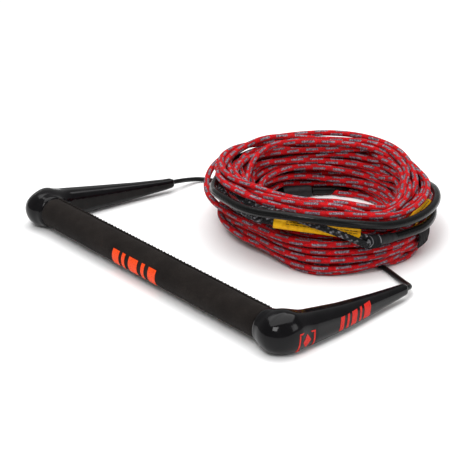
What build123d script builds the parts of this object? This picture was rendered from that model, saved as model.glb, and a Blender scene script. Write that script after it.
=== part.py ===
"""Tow rope handle: a floating bar with two swept end caps, its bridle, the black handle line and
the long red main line wound into a loose coil.

Millimetres. X runs along the bar, +Y from the bar towards the rope, +Z up. The origin is the bottom
centre of the handle's own box: the two end caps stand on the plane z = 0.
"""
import os
from math import cos, pi, radians, sin, sqrt, tan

from build123d import *

# ---------------------------------------------------------------- driving dimensions
GRIP_LENGTH = 335.0
GRIP_DIAMETER = 29.2
TUBE_DIAMETER = 22.0
TUBE_WALL = 1.6
PIN_RADIUS = 2.0
PIN_LENGTH = 21.4
PIN_SETBACK = 16.0       # of the pin from the end of the tube
TUBE_SEAT = 3.5          # depth of the collar over each end of the tube
SPIGOT_LENGTH = 30.0     # part of the end cap that goes inside the tube
SPIGOT_CLEARANCE = 0.1
SPIGOT_ROOT = 1.0        # of the spigot's length inside the cap's solid
OVERCUT = 5.0            # of a bore past the face that it opens
FOAM_CLEARANCE = 0.2
FOAM_SETBACK = 3.0       # of the foam core from the end of each spigot

WELT_ANGLE = 62.0        # of the seam above the bar's back, seen along the bar
WELT_RADIUS = 1.1
WELT_RISE = 0.35         # of the welt's axis above the grip
STITCH_PITCH = 5.0
STITCH_LENGTH = 3.2
STITCH_RADIUS = 0.3
STITCH_RISE = 0.32       # of a stitch's axis above the welt

COLLAR_DIAMETER = 32.0
COLLAR_LENGTH = 9.5
COLLAR_ROUNDING = 3.0
NECK_DIAMETER = 29.0
BULB_RADIUS = 19.4
BAR_HEIGHT = 19.0        # a little under the bulb's radius, which leaves a small foot at z = 0
BULB_OFFSET = 16.5       # from the end of the grip to the bulb's centre
ARM_REACH = 161.0        # from the bar's axis to the mouth of the arm
TIP_X = 178.0            # of the mouth's centre
TIP_Z = 10.8
ARM_ROUNDING = 0.42      # corner radius of the arm's section, as a share of its shorter side
# stations along the arm: distance from the bar's axis, inner x, outer x, bottom z, top z
ARM_STATIONS = (
    (2.0, 172.0, 202.0, 1.2, 37.0),
    (30.0, 174.5, 202.0, 1.0, 32.6),
    (70.0, 175.2, 198.0, 1.6, 26.6),
    (115.0, 174.2, 190.0, 3.2, 20.8),
    (150.0, 172.7, 184.2, 4.8, 16.8),
    (ARM_REACH, 173.0, 182.4, 5.6, 15.8),
)

CHAMBER_RADIUS = 6.6     # of the space for the knot
KNOT_RADIUS = 5.4
KNOT_SEAT = 11.0         # from the bar's axis to the wall that the washer lies against
WASHER_THICKNESS = 1.5
WASHER_CLEARANCE = 0.3
CHANNEL_CLEARANCE = 0.4
MOUTH_DEPTH = 3.0        # of the join between the knotted end and the free leg

BRIDLE_DIAMETER = 5.0
EYE_DIAMETER = 6.5
HANDLE_LINE_DIAMETER = 8.2
MAIN_LINE_DIAMETER = 6.35
FLOOR_CLEARANCE = 0.1    # under a cord that lies on the floor

SEIZING_RADIUS = 6.4
WHIPPING_RADIUS = 6.6
LOOP_WHIPPING_RADIUS = 4.8
LINE_SLEEVE_WALL = 0.7
HITCH_CLEARANCE = 0.3    # between the hitch and the eye

MARKER_DIAMETER = 10.4
MARKER_BORE = 8.2
MARKER_CLEARANCE = 0.6
MARKER_END_SPACE = 6.0
MARKER_RUN_BEYOND = 4.0  # of the straight run of cord past each end of the rear sleeve
CORD_CLEARANCE = 0.6

COIL_LENGTH = 262.0      # outside, along its long axis
COIL_WIDTH = 228.0       # outside, across
COIL_HEIGHT = 76.0
COIL_BUNDLE = 46.0       # thickness of the bundle of turns
COIL_TURN = 51.1         # degrees from the bar to the coil's short axis
COIL_FORWARD = 215.0     # from the bar's axis to the coil's centre
WAIST_DEPTH = 12.0
WAIST_LOW = 41.0
WAIST_HIGH = 65.0
BUNDLE_ROUNDING = 20.0
WAIST_ROUNDING = 8.0
END_SPACE = 1.0          # open length past the ends of the seizing and the whipping
WHIPPING_SPACE = 26.0    # open length past the whipping, for the eye's two ends

STRAP_ANGLE = -33.0      # of the webbing tab round the coil
STRAP_MIDDLE = 21.0      # height of its centre
STRAP_HEIGHT = 19.0
STRAP_WIDTH = 24.0
STRAP_THICKNESS = 1.8
STRAP_ROUNDING = 2.0
STRAP_GAP = 1.6          # between the tab and the coil

# ---------------------------------------------------------------- derived positions
BAR_Y = -(ARM_REACH - BULB_RADIUS) / 2
GRIP_END = GRIP_LENGTH / 2
BULB_X = GRIP_END + BULB_OFFSET
TUBE_END = GRIP_END + TUBE_SEAT
PIN_X = TUBE_END - PIN_SETBACK
TIP_Y = BAR_Y + ARM_REACH
COIL_Y = BAR_Y + COIL_FORWARD
COIL_FRAME = Location((0, COIL_Y, 0), (0, 0, COIL_TURN))
KNOT_SEAT_Y = BAR_Y + KNOT_SEAT
CHANNEL_RADIUS = BRIDLE_DIAMETER / 2 + CHANNEL_CLEARANCE

parts = {}


# ---------------------------------------------------------------- helpers
def cylinder_between(start, end, radius):
    """A round bar from one point to another."""
    start, end = Vector(*start), Vector(*end)
    plane = Plane(origin=start, z_dir=end - start)
    return extrude(plane * Circle(radius), (end - start).length)


def beyond(start, end, distance):
    """A point past the end of a straight run, or short of it where the distance is negative."""
    start, end = Vector(*start), Vector(*end)
    return tuple(end + (end - start).normalized() * distance)


def in_coil(u, v, z):
    """A point given in the coil's own axes: u across, v along its long axis."""
    point = COIL_FRAME * Location((u, v, z))
    return tuple(point.position)


def on_coil(angle, offset, z):
    """A point beside the coil's outer wall, at an angle in its own axes."""
    u = (COIL_WIDTH / 2 + offset) * cos(radians(angle))
    v = (COIL_LENGTH / 2 + offset) * sin(radians(angle))
    return in_coil(u, v, z)


def corner_radii(points):
    """The largest arc that fits each corner: 0.45 of the shorter run beside it."""
    radii = []
    for before, corner, after in zip(points, points[1:], points[2:]):
        run_in = Vector(*corner) - Vector(*before)
        run_out = Vector(*after) - Vector(*corner)
        half_turn = radians(run_in.get_angle(run_out)) / 2
        radii.append(0.45 * min(run_in.length, run_out.length) / tan(half_turn))
    return radii


def cord(name, points, diameter):
    """A cord laid along points, with a tangent arc at each corner."""
    radii = corner_radii(points)
    path = FilletPolyline(*points, radius=radii)
    section = Plane(origin=path @ 0, z_dir=path % 0) * Circle(diameter / 2)
    solid = sweep(section, path=path)
    expected = pi * diameter ** 2 / 4 * path.length
    print(f"{name}: length {path.length:.0f} mm, volume ratio {solid.volume / expected:.4f}")
    print("   radii in diameters:", [round(r / diameter, 1) for r in radii])
    return solid, path


# ---------------------------------------------------------------- bar and grip
def make_bar():
    bar_axis = ((-TUBE_END, BAR_Y, BAR_HEIGHT), (TUBE_END, BAR_Y, BAR_HEIGHT))
    inner_radius = TUBE_DIAMETER / 2 - TUBE_WALL
    tube = cylinder_between(*bar_axis, TUBE_DIAMETER / 2)
    tube -= cylinder_between(*bar_axis, inner_radius)
    for side in (-1, 1):
        pin_start = (side * PIN_X, BAR_Y - PIN_LENGTH / 2, BAR_HEIGHT)
        pin_end = (side * PIN_X, BAR_Y + PIN_LENGTH / 2, BAR_HEIGHT)
        tube -= cylinder_between(pin_start, pin_end, PIN_RADIUS)
    parts["bar_tube"] = tube

    core_end = TUBE_END - SPIGOT_LENGTH - FOAM_SETBACK
    parts["bar_foam_core"] = cylinder_between(
        (-core_end, BAR_Y, BAR_HEIGHT), (core_end, BAR_Y, BAR_HEIGHT), inner_radius - FOAM_CLEARANCE)

    grip_axis = ((-GRIP_END, BAR_Y, BAR_HEIGHT), (GRIP_END, BAR_Y, BAR_HEIGHT))
    sleeve = cylinder_between(*grip_axis, GRIP_DIAMETER / 2)
    sleeve -= cylinder_between(*grip_axis, TUBE_DIAMETER / 2)
    parts["grip_sleeve"] = sleeve


def welt_point(x, radius):
    y = BAR_Y + radius * cos(radians(WELT_ANGLE))
    z = BAR_HEIGHT + radius * sin(radians(WELT_ANGLE))
    return x, y, z


def make_welt():
    ridge_radius = GRIP_DIAMETER / 2 + WELT_RISE
    length = GRIP_END - 1
    welt = cylinder_between(welt_point(-length, ridge_radius), welt_point(length, ridge_radius), WELT_RADIUS)
    core = cylinder_between((-GRIP_END, BAR_Y, BAR_HEIGHT), (GRIP_END, BAR_Y, BAR_HEIGHT), GRIP_DIAMETER / 2)
    parts["grip_welt"] = welt - core

    stitches = []
    stitch_height = ridge_radius + WELT_RADIUS + STITCH_RISE
    half = STITCH_LENGTH / 2
    count = int(2 * length / STITCH_PITCH)
    for index in range(count):
        x = (index - (count - 1) / 2) * STITCH_PITCH
        start, end = welt_point(x - half, stitch_height), welt_point(x + half, stitch_height)
        stitches.append(cylinder_between(start, end, STITCH_RADIUS))
    parts["grip_stitching"] = Compound(children=stitches)


# ---------------------------------------------------------------- end caps
def make_end_cap(side):
    """One cap with its pin, washer and knotted rope end; side is 1 on the right, -1 on the left."""
    def at(x, y=BAR_Y, z=BAR_HEIGHT):
        return side * x, y, z

    sections = []
    for reach, inner, outer, bottom, top in ARM_STATIONS:
        plane = Plane(origin=at((inner + outer) / 2, BAR_Y + reach, (bottom + top) / 2),
                      x_dir=(1, 0, 0), z_dir=(0, -1, 0))
        width, height = outer - inner, top - bottom
        sections.append(plane * RectangleRounded(width, height, ARM_ROUNDING * min(width, height)))
    collar = cylinder_between(at(GRIP_END), at(GRIP_END + COLLAR_LENGTH), COLLAR_DIAMETER / 2)
    collar = fillet(collar.edges().filter_by(GeomType.CIRCLE), COLLAR_ROUNDING)
    outward = 0 if side == 1 else 180
    cap = Pos(*at(BULB_X)) * Rot(0, 0, outward) * Sphere(BULB_RADIUS)
    cap += cylinder_between(at(GRIP_END), at(BULB_X), NECK_DIAMETER / 2)
    cap += collar
    cap += loft(sections)

    spigot_end = TUBE_END - SPIGOT_LENGTH
    spigot_radius = TUBE_DIAMETER / 2 - TUBE_WALL - SPIGOT_CLEARANCE
    cap -= cylinder_between(at(GRIP_END - OVERCUT), at(TUBE_END), TUBE_DIAMETER / 2)
    cap += cylinder_between(at(spigot_end), at(TUBE_END + SPIGOT_ROOT), spigot_radius)
    cap -= cylinder_between(at(spigot_end - OVERCUT), at(BULB_X + CHAMBER_RADIUS), CHAMBER_RADIUS)
    seat = at(BULB_X, KNOT_SEAT_Y)
    cap -= cylinder_between(at(BULB_X), seat, CHAMBER_RADIUS)
    mouth = at(TIP_X, TIP_Y, TIP_Z)
    cap -= cylinder_between(seat, beyond(seat, mouth, OVERCUT), CHANNEL_RADIUS)
    pin_ends = (at(PIN_X, BAR_Y - PIN_LENGTH / 2), at(PIN_X, BAR_Y + PIN_LENGTH / 2))
    cap -= cylinder_between(*pin_ends, PIN_RADIUS)
    cap -= Pos(*at(BULB_X, BAR_Y, -BULB_RADIUS)) * Box(6 * BULB_RADIUS, 3 * ARM_REACH, 2 * BULB_RADIUS)

    washer_start = at(BULB_X, KNOT_SEAT_Y - WASHER_THICKNESS)
    washer = cylinder_between(washer_start, seat, CHAMBER_RADIUS - WASHER_CLEARANCE)
    washer -= cylinder_between(washer_start, seat, CHANNEL_RADIUS)
    knot_centre = at(BULB_X, KNOT_SEAT_Y - WASHER_THICKNESS - KNOT_RADIUS)
    knot = Pos(*knot_centre) * Sphere(KNOT_RADIUS)
    knot += cylinder_between(knot_centre, seat, BRIDLE_DIAMETER / 2)
    knot += cylinder_between(seat, beyond(seat, mouth, -MOUTH_DEPTH), BRIDLE_DIAMETER / 2)
    return {
        "end_cap": cap,
        "cap_pin": cylinder_between(*pin_ends, PIN_RADIUS),
        "bridle_washer": washer,
        "bridle_knot": knot,
    }


# ---------------------------------------------------------------- routes of the cords
def mouth_point(side, distance):
    """A point on the line of the arm's rope channel, measured out from the arm's mouth."""
    x, y, z = beyond((BULB_X, KNOT_SEAT_Y, BAR_HEIGHT), (TIP_X, TIP_Y, TIP_Z), distance)
    return side * x, y, z


LEG_HEIGHT = BRIDLE_DIAMETER / 2 + FLOOR_CLEARANCE
ROPE_HEIGHT = MAIN_LINE_DIAMETER / 2 + FLOOR_CLEARANCE

# the sleeve that joins both bridle legs to the handle line, in the middle of the coil
SEIZING_START = in_coil(-34, 85, 6.5)
SEIZING_END = in_coil(-4, 90, 6.5)

# the whipped end of the handle line, where its eye begins
WHIPPING_START = in_coil(37.6, -132.0, 39.2)
WHIPPING_END = in_coil(47.2, -125.0, 38.2)

# the marker sleeves, each a straight tube that turns on its cord
MARKER_FRONT = (in_coil(-51.0, -114.6, 52.4), in_coil(30.5, -125.0, 44.4))
MARKER_REAR = (in_coil(83.0, -84.0, 40.0), in_coil(104.0, -42.0, 43.5))

# the whipped end of the main line, on the floor inside the coil
LOOP_SLEEVE_START = in_coil(-53.0, 11.4, 4.9)
LOOP_SLEEVE_END = in_coil(-43.0, -8.2, 4.9)

BRIDLE_LEFT_ROUTE = (
    mouth_point(-1, -MOUTH_DEPTH),
    mouth_point(-1, 9),
    (-182.5, 117, 6.2),
    (-183.0, 131, 3.4),
    (-172.0, 141, LEG_HEIGHT),
    (-150.0, 147, LEG_HEIGHT),
    (-124.0, 150, LEG_HEIGHT),
    in_coil(-62, 94, LEG_HEIGHT),
    in_coil(-48, 86, 3.6),
    in_coil(-34.9, 87.8, 6.2),
)
BRIDLE_RIGHT_ROUTE = (
    mouth_point(1, -MOUTH_DEPTH),
    mouth_point(1, 4.5),
    (170.5, 102.0, 7.2),
    (159.0, 107.5, 4.6),
    (144.0, 113.0, 3.2),
    (122.0, 120.0, LEG_HEIGHT),
    (96.0, 122.0, LEG_HEIGHT),
    in_coil(46, -62, LEG_HEIGHT),
    in_coil(38, -22, LEG_HEIGHT),
    in_coil(14, 18, LEG_HEIGHT),
    in_coil(-20, 42, LEG_HEIGHT),
    in_coil(-46, 56, LEG_HEIGHT),
    in_coil(-53, 71, 3.6),
    in_coil(-46, 80, 5.0),
    in_coil(-33.9, 82.3, 6.2),
)
HANDLE_LINE_ROUTE = (
    beyond(WHIPPING_START, WHIPPING_END, 0.4),
    in_coil(85, -97.5, 35.6),
    on_coil(-30, 6, 36),
    on_coil(-12, 8, 38),
    on_coil(14, 7, 40),
    on_coil(42, 6, 41),
    on_coil(70, 7, 44),
    on_coil(98, 6, 48),
    on_coil(126, 7, 53),
    on_coil(153, 6, 58),
    on_coil(178, 7, 62),
    on_coil(204, 7, 61.5),
    on_coil(230, 8, 61.5),
    on_coil(254, 7, 61),
    on_coil(276, 7, 57),
    on_coil(298, 6, 50.5),
    on_coil(318, 7, 47.5),
    on_coil(338, 9, 47),
    on_coil(355, 8, 50),
    on_coil(13, 7, 43),
    on_coil(28, 8, 27),
    on_coil(42, 8, 12),
    in_coil(67, 108, 4.8),
    in_coil(44, 102, 4.3),
    in_coil(20, 94, 5.0),
    in_coil(-3.2, 90, 6.4),
)


EYE_ROUTE = (
    in_coil(37.4, -130.0, 42.3),
    beyond(*MARKER_FRONT, 2.5),
    beyond(*MARKER_FRONT[::-1], 11),
    on_coil(-134, -0.5, 54.2),
    on_coil(-149, -0.5, 54.6),
    on_coil(-162, 0, 55),
    on_coil(-169.5, -1, 56),
    on_coil(-170.5, -8.5, 58),
    on_coil(-162, -10.5, 58.5),
    on_coil(-146, -8.5, 58.5),
    on_coil(-128, -8, 59),
    on_coil(-112, -7.5, 61.2),
    on_coil(-98, -3, 55.8),
    on_coil(-87, 2.5, 50.2),
    in_coil(23, -134.2, 43.4),
    in_coil(37.0, -133.9, 36.8),
)


def loop_point(along, across):
    """A point of the main line's end loop, measured from its whipping."""
    start, end = Vector(*LOOP_SLEEVE_START), Vector(*LOOP_SLEEVE_END)
    ahead = (end - start).normalized()
    side = Vector(-ahead.Y, ahead.X, 0)
    point = end + ahead * along + side * across
    return point.X, point.Y, ROPE_HEIGHT


MAIN_TAIL_ROUTE = (
    in_coil(-76, 52, 12),
    in_coil(-70, 36, 6.5),
    in_coil(-61, 23, ROPE_HEIGHT),
    in_coil(-53.4, 12.2, ROPE_HEIGHT),
)
LOOP_ROUTE = (
    loop_point(0.8, -3.8),
    loop_point(15, -9),
    loop_point(31, -14.5),
    loop_point(46, -13.5),
    loop_point(56, -5),
    loop_point(56, 5.5),
    loop_point(46, 13),
    loop_point(31, 13.5),
    loop_point(15, 8.5),
    loop_point(0.8, 3.8),
)
CORDS = (
    ("bridle_left", BRIDLE_LEFT_ROUTE, BRIDLE_DIAMETER),
    ("bridle_right", BRIDLE_RIGHT_ROUTE, BRIDLE_DIAMETER),
    ("handle_line", HANDLE_LINE_ROUTE, HANDLE_LINE_DIAMETER),
    ("eye_loop", EYE_ROUTE, EYE_DIAMETER),
    ("main_line_tail", MAIN_TAIL_ROUTE, MAIN_LINE_DIAMETER),
    ("main_line_loop", LOOP_ROUTE, MAIN_LINE_DIAMETER),
)


# ---------------------------------------------------------------- pieces on the cords
def make_sleeves():
    parts["bridle_seizing"] = cylinder_between(SEIZING_START, SEIZING_END, SEIZING_RADIUS)
    parts["eye_whipping"] = cylinder_between(WHIPPING_START, WHIPPING_END, WHIPPING_RADIUS)
    parts["loop_whipping"] = cylinder_between(LOOP_SLEEVE_START, LOOP_SLEEVE_END, LOOP_WHIPPING_RADIUS)

    route_start, route_next = HANDLE_LINE_ROUTE[:2]
    first_run = Vector(*route_next) - Vector(*route_start)
    sleeve_end = tuple(Vector(*route_start) + first_run * 0.5)
    sleeve = cylinder_between(route_start, sleeve_end, HANDLE_LINE_DIAMETER / 2 + LINE_SLEEVE_WALL)
    parts["line_sleeve"] = sleeve - cylinder_between(route_start, sleeve_end, HANDLE_LINE_DIAMETER / 2)


def make_markers():
    for name, ends in (("marker_sleeve_front", MARKER_FRONT), ("marker_sleeve_rear", MARKER_REAR)):
        parts[name] = cylinder_between(*ends, MARKER_DIAMETER / 2) - cylinder_between(*ends, MARKER_BORE / 2)
    run_start = beyond(*MARKER_REAR[::-1], MARKER_RUN_BEYOND)
    run_end = beyond(*MARKER_REAR, MARKER_RUN_BEYOND)
    parts["marker_run"] = cylinder_between(run_start, run_end, MAIN_LINE_DIAMETER / 2)


def make_hitch():
    """The main line's turns round the bight of the eye."""
    bight = Vector(*on_coil(-169.6, -7.5, 57))
    along = Vector(*on_coil(-170.5, -8.5, 58)) - Vector(*on_coil(-169.5, -1, 56))
    wrap_radius = (EYE_DIAMETER + MAIN_LINE_DIAMETER) / 2 + HITCH_CLEARANCE
    parts["line_hitch"] = Plane(origin=bight, z_dir=along).location * Torus(
        wrap_radius, MAIN_LINE_DIAMETER / 2)


def make_strap():
    """A webbing tab that lies against the outside of the coil."""
    wall = Vector(*on_coil(STRAP_ANGLE, 0, STRAP_MIDDLE))
    out = (Vector(*on_coil(STRAP_ANGLE, 10, STRAP_MIDDLE)) - wall).normalized()
    plane = Plane(origin=wall + out * STRAP_GAP, x_dir=(0, 0, 1), z_dir=out)
    outline = RectangleRounded(STRAP_HEIGHT, STRAP_WIDTH, STRAP_ROUNDING)
    parts["coil_strap"] = extrude(plane * outline, STRAP_THICKNESS)


# ---------------------------------------------------------------- coil
def oval_ring(profile):
    """A ring of four tangent arcs; the profile is (distance from the outer wall, height)."""
    long_half, short_half = COIL_LENGTH / 2, COIL_WIDTH / 2
    shift = (long_half - short_half) / (2 - sqrt(2))
    end_radius = long_half - shift
    side_radius = short_half + shift
    quarters = (
        (45, (0, shift), end_radius),
        (135, (shift, 0), side_radius),
        (225, (0, -shift), end_radius),
        (315, (-shift, 0), side_radius),
    )
    ring = None
    for start_angle, (u, v), radius in quarters:
        angle = radians(start_angle)
        plane = Plane(origin=(u, v, 0), x_dir=(cos(angle), sin(angle), 0),
                      z_dir=(sin(angle), -cos(angle), 0))
        section = plane * (Pos(radius, 0) * profile)
        arc = revolve(section, axis=Axis((u, v, 0), (0, 0, 1)), revolution_arc=90)
        ring = arc if ring is None else ring + arc
    return COIL_FRAME * ring


def make_coil(cord_paths):
    """The wound main line, open where the cords and the marker sleeves pass."""
    bundle = RectangleRounded(COIL_BUNDLE, COIL_HEIGHT, BUNDLE_ROUNDING)
    waist = RectangleRounded(2 * WAIST_DEPTH, WAIST_HIGH - WAIST_LOW, WAIST_ROUNDING)
    profile = Pos(-COIL_BUNDLE / 2, COIL_HEIGHT / 2) * bundle
    profile -= Pos(0, (WAIST_LOW + WAIST_HIGH) / 2) * waist
    coil = oval_ring(profile)
    for path, diameter in cord_paths:
        section = Plane(origin=path @ 0, z_dir=path % 0) * Circle(diameter / 2 + CORD_CLEARANCE)
        coil -= sweep(section, path=path)
    for ends in (MARKER_FRONT, MARKER_REAR):
        space = (beyond(*ends[::-1], MARKER_END_SPACE), beyond(*ends, MARKER_END_SPACE))
        coil -= cylinder_between(*space, MARKER_DIAMETER / 2 + MARKER_CLEARANCE)
    seizing = (beyond(SEIZING_END, SEIZING_START, END_SPACE), beyond(SEIZING_START, SEIZING_END, END_SPACE))
    coil -= cylinder_between(*seizing, SEIZING_RADIUS + CORD_CLEARANCE)
    whipping_start = beyond(WHIPPING_END, WHIPPING_START, END_SPACE)
    whipping = (whipping_start, beyond(WHIPPING_START, WHIPPING_END, WHIPPING_SPACE))
    coil -= cylinder_between(*whipping, WHIPPING_RADIUS + CORD_CLEARANCE)
    return coil


def main():
    os.makedirs("parts", exist_ok=True)
    make_bar()
    make_welt()
    for side, word in ((-1, "left"), (1, "right")):
        for name, shape in make_end_cap(side).items():
            parts[f"{name}_{word}"] = shape
    cord_paths = []
    for name, route, diameter in CORDS:
        parts[name], path = cord(name, route, diameter)
        cord_paths.append((path, diameter))
    make_sleeves()
    make_markers()
    make_hitch()
    make_strap()
    parts["main_line_coil"] = make_coil(cord_paths) - parts["line_hitch"]
    for name, shape in parts.items():
        shape.label = name
        export_step(shape, f"parts/{name}.step")


if __name__ == "__main__":
    main()
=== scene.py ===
"""Tow rope handle: the looks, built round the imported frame. Metres, in the frame's own axes.

X runs along the bar, +Y from the bar towards the rope and +Z up; the floor is z = 0.
"""
from math import cos, pi, radians, sin

import bpy
import numpy as np
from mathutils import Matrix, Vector


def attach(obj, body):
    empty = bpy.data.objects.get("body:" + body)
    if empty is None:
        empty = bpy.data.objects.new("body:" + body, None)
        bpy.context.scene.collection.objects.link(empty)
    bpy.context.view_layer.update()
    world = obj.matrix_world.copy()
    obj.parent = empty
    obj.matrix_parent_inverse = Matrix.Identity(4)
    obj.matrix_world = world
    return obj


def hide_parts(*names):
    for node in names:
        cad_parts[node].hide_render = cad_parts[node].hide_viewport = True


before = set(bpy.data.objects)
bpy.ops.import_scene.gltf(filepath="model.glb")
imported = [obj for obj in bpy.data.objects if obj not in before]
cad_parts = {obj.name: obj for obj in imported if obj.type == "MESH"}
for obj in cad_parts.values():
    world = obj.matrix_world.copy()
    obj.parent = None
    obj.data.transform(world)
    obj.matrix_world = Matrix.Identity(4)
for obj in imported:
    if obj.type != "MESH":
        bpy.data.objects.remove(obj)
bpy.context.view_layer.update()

RANDOM = np.random.default_rng(11)

# ---------------------------------------------------------------- sizes
GRIP_LENGTH = 0.335
GRIP_RADIUS = 0.0146
TUBE_RADIUS = 0.011
COLLAR_RADIUS = 0.016
COLLAR_LENGTH = 0.0095
NECK_RADIUS = 0.0145
BULB_RADIUS = 0.0194
BAR_HEIGHT = 0.019
ARM_REACH = 0.161
BAR_Y = -(ARM_REACH - BULB_RADIUS) / 2
GRIP_END = GRIP_LENGTH / 2
BULB_X = GRIP_END + 0.0165
TIP = (0.178, BAR_Y + ARM_REACH, 0.0108)
KNOT_SEAT_Y = BAR_Y + 0.011
CHANNEL_RADIUS = 0.0029

BRIDLE_DIAMETER = 0.005
EYE_DIAMETER = 0.0065
HANDLE_LINE_DIAMETER = 0.0082
MAIN_LINE_DIAMETER = 0.00635
MARKER_RADIUS = 0.0052

COIL_LENGTH = 0.262
COIL_WIDTH = 0.228
COIL_TURN = radians(51.1)
COIL_Y = BAR_Y + 0.215


# ---------------------------------------------------------------- places
def in_coil(u, v, z):
    """A point given in the coil's own axes: u across, v along its long axis."""
    return (u * cos(COIL_TURN) - v * sin(COIL_TURN), COIL_Y + u * sin(COIL_TURN) + v * cos(COIL_TURN), z)


def on_coil(angle, offset, z):
    """A point beside the coil's outer wall, at an angle in its own axes."""
    u = (COIL_WIDTH / 2 + offset) * cos(radians(angle))
    v = (COIL_LENGTH / 2 + offset) * sin(radians(angle))
    return in_coil(u, v, z)


def beyond(start, end, distance):
    """A point past the end of a straight run, or short of it where the distance is negative."""
    start, end = Vector(start), Vector(end)
    return tuple(end + (end - start).normalized() * distance)


def mouth_point(side, distance):
    """A point on the line of the arm's rope channel, measured out from the arm's mouth."""
    x, y, z = beyond((BULB_X, KNOT_SEAT_Y, BAR_HEIGHT), TIP, distance)
    return side * x, y, z


# ---------------------------------------------------------------- routes of the cords
MOUTH_DEPTH = 0.003
LEG_HEIGHT = BRIDLE_DIAMETER / 2 + 0.0001
ROPE_HEIGHT = MAIN_LINE_DIAMETER / 2 + 0.0001
SEIZING_START = in_coil(-0.034, 0.085, 0.0065)
SEIZING_END = in_coil(-0.004, 0.09, 0.0065)
WHIPPING_START = in_coil(0.0376, -0.132, 0.0392)
WHIPPING_END = in_coil(0.0472, -0.125, 0.0382)
MARKER_FRONT = (in_coil(-0.051, -0.1146, 0.0524), in_coil(0.0305, -0.125, 0.0444))
MARKER_REAR = (in_coil(0.083, -0.084, 0.04), in_coil(0.104, -0.042, 0.0435))
LOOP_SLEEVE_START = in_coil(-0.053, 0.0114, 0.0049)
LOOP_SLEEVE_END = in_coil(-0.043, -0.0082, 0.0049)

BRIDLE_LEFT_ROUTE = (
    mouth_point(-1, -MOUTH_DEPTH),
    mouth_point(-1, 0.009),
    (-0.1825, 0.117, 0.0062),
    (-0.183, 0.131, 0.0034),
    (-0.172, 0.141, LEG_HEIGHT),
    (-0.15, 0.147, LEG_HEIGHT),
    (-0.124, 0.15, LEG_HEIGHT),
    in_coil(-0.062, 0.094, LEG_HEIGHT),
    in_coil(-0.048, 0.086, 0.0036),
    in_coil(-0.0349, 0.0878, 0.0062),
)
BRIDLE_RIGHT_ROUTE = (
    mouth_point(1, -MOUTH_DEPTH),
    mouth_point(1, 0.0045),
    (0.1705, 0.102, 0.0072),
    (0.159, 0.1075, 0.0046),
    (0.144, 0.113, 0.0032),
    (0.122, 0.12, LEG_HEIGHT),
    (0.096, 0.122, LEG_HEIGHT),
    in_coil(0.046, -0.062, LEG_HEIGHT),
    in_coil(0.038, -0.022, LEG_HEIGHT),
    in_coil(0.014, 0.018, LEG_HEIGHT),
    in_coil(-0.02, 0.042, LEG_HEIGHT),
    in_coil(-0.046, 0.056, LEG_HEIGHT),
    in_coil(-0.053, 0.071, 0.0036),
    in_coil(-0.046, 0.08, 0.005),
    in_coil(-0.0339, 0.0823, 0.0062),
)
HANDLE_LINE_ROUTE = (
    beyond(WHIPPING_START, WHIPPING_END, 0.0004),
    in_coil(0.085, -0.0975, 0.0356),
    on_coil(-30, 0.007, 0.035),
    on_coil(-12, 0.001, 0.036),
    on_coil(14, -0.0055, 0.038),
    on_coil(42, -0.001, 0.041),
    on_coil(70, 0.007, 0.044),
    on_coil(98, 0.006, 0.048),
    on_coil(126, -0.004, 0.048),
    on_coil(153, -0.008, 0.050),
    on_coil(178, -0.008, 0.051),
    on_coil(191, -0.0025, 0.0515),
    on_coil(204, 0.0005, 0.0575),
    on_coil(230, 0.006, 0.060),
    on_coil(254, 0.0065, 0.0655),
    on_coil(276, 0.0065, 0.0605),
    on_coil(298, 0.006, 0.0505),
    on_coil(318, 0.0065, 0.0475),
    on_coil(338, 0.0065, 0.047),
    on_coil(355, 0.0035, 0.0455),
    on_coil(13, 0.003, 0.037),
    on_coil(28, 0.0065, 0.025),
    on_coil(42, 0.0075, 0.0115),
    in_coil(0.067, 0.108, 0.0048),
    in_coil(0.044, 0.102, 0.0043),
    in_coil(0.02, 0.094, 0.005),
    in_coil(-0.0032, 0.09, 0.0064),
)
EYE_ROUTE = (
    in_coil(0.0374, -0.13, 0.0423),
    beyond(*MARKER_FRONT, 0.0025),
    beyond(*MARKER_FRONT[::-1], 0.011),
    on_coil(-134, -0.002, 0.0532),
    on_coil(-148, -0.0055, 0.0525),
    on_coil(-160, -0.0085, 0.0525),
    on_coil(-170, -0.0105, 0.0535),
    on_coil(-172.5, -0.0165, 0.0555),
    on_coil(-169, -0.0225, 0.057),
    on_coil(-159, -0.020, 0.058),
    on_coil(-145, -0.014, 0.0585),
    on_coil(-128, -0.0095, 0.059),
    on_coil(-112, -0.0075, 0.0612),
    on_coil(-98, -0.003, 0.0558),
    on_coil(-87, 0.0025, 0.0502),
    in_coil(0.023, -0.1342, 0.0434),
    in_coil(0.037, -0.1339, 0.0368),
)
MAIN_TAIL_ROUTE = (
    in_coil(-0.076, 0.052, 0.012),
    in_coil(-0.07, 0.036, 0.0065),
    in_coil(-0.061, 0.023, ROPE_HEIGHT),
    in_coil(-0.0534, 0.0122, ROPE_HEIGHT),
)


def loop_point(along, across):
    """A point of the main line's end loop, measured from its whipping."""
    start, end = Vector(LOOP_SLEEVE_START), Vector(LOOP_SLEEVE_END)
    ahead = (end - start).normalized()
    side = Vector((-ahead.y, ahead.x, 0))
    point = end + ahead * along + side * across
    return point.x, point.y, ROPE_HEIGHT


LOOP_ROUTE = (
    loop_point(0.0008, -0.0038),
    loop_point(0.015, -0.009),
    loop_point(0.031, -0.0145),
    loop_point(0.046, -0.0135),
    loop_point(0.056, -0.005),
    loop_point(0.056, 0.0055),
    loop_point(0.046, 0.013),
    loop_point(0.031, 0.0135),
    loop_point(0.015, 0.0085),
    loop_point(0.0008, 0.0038),
)


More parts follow.
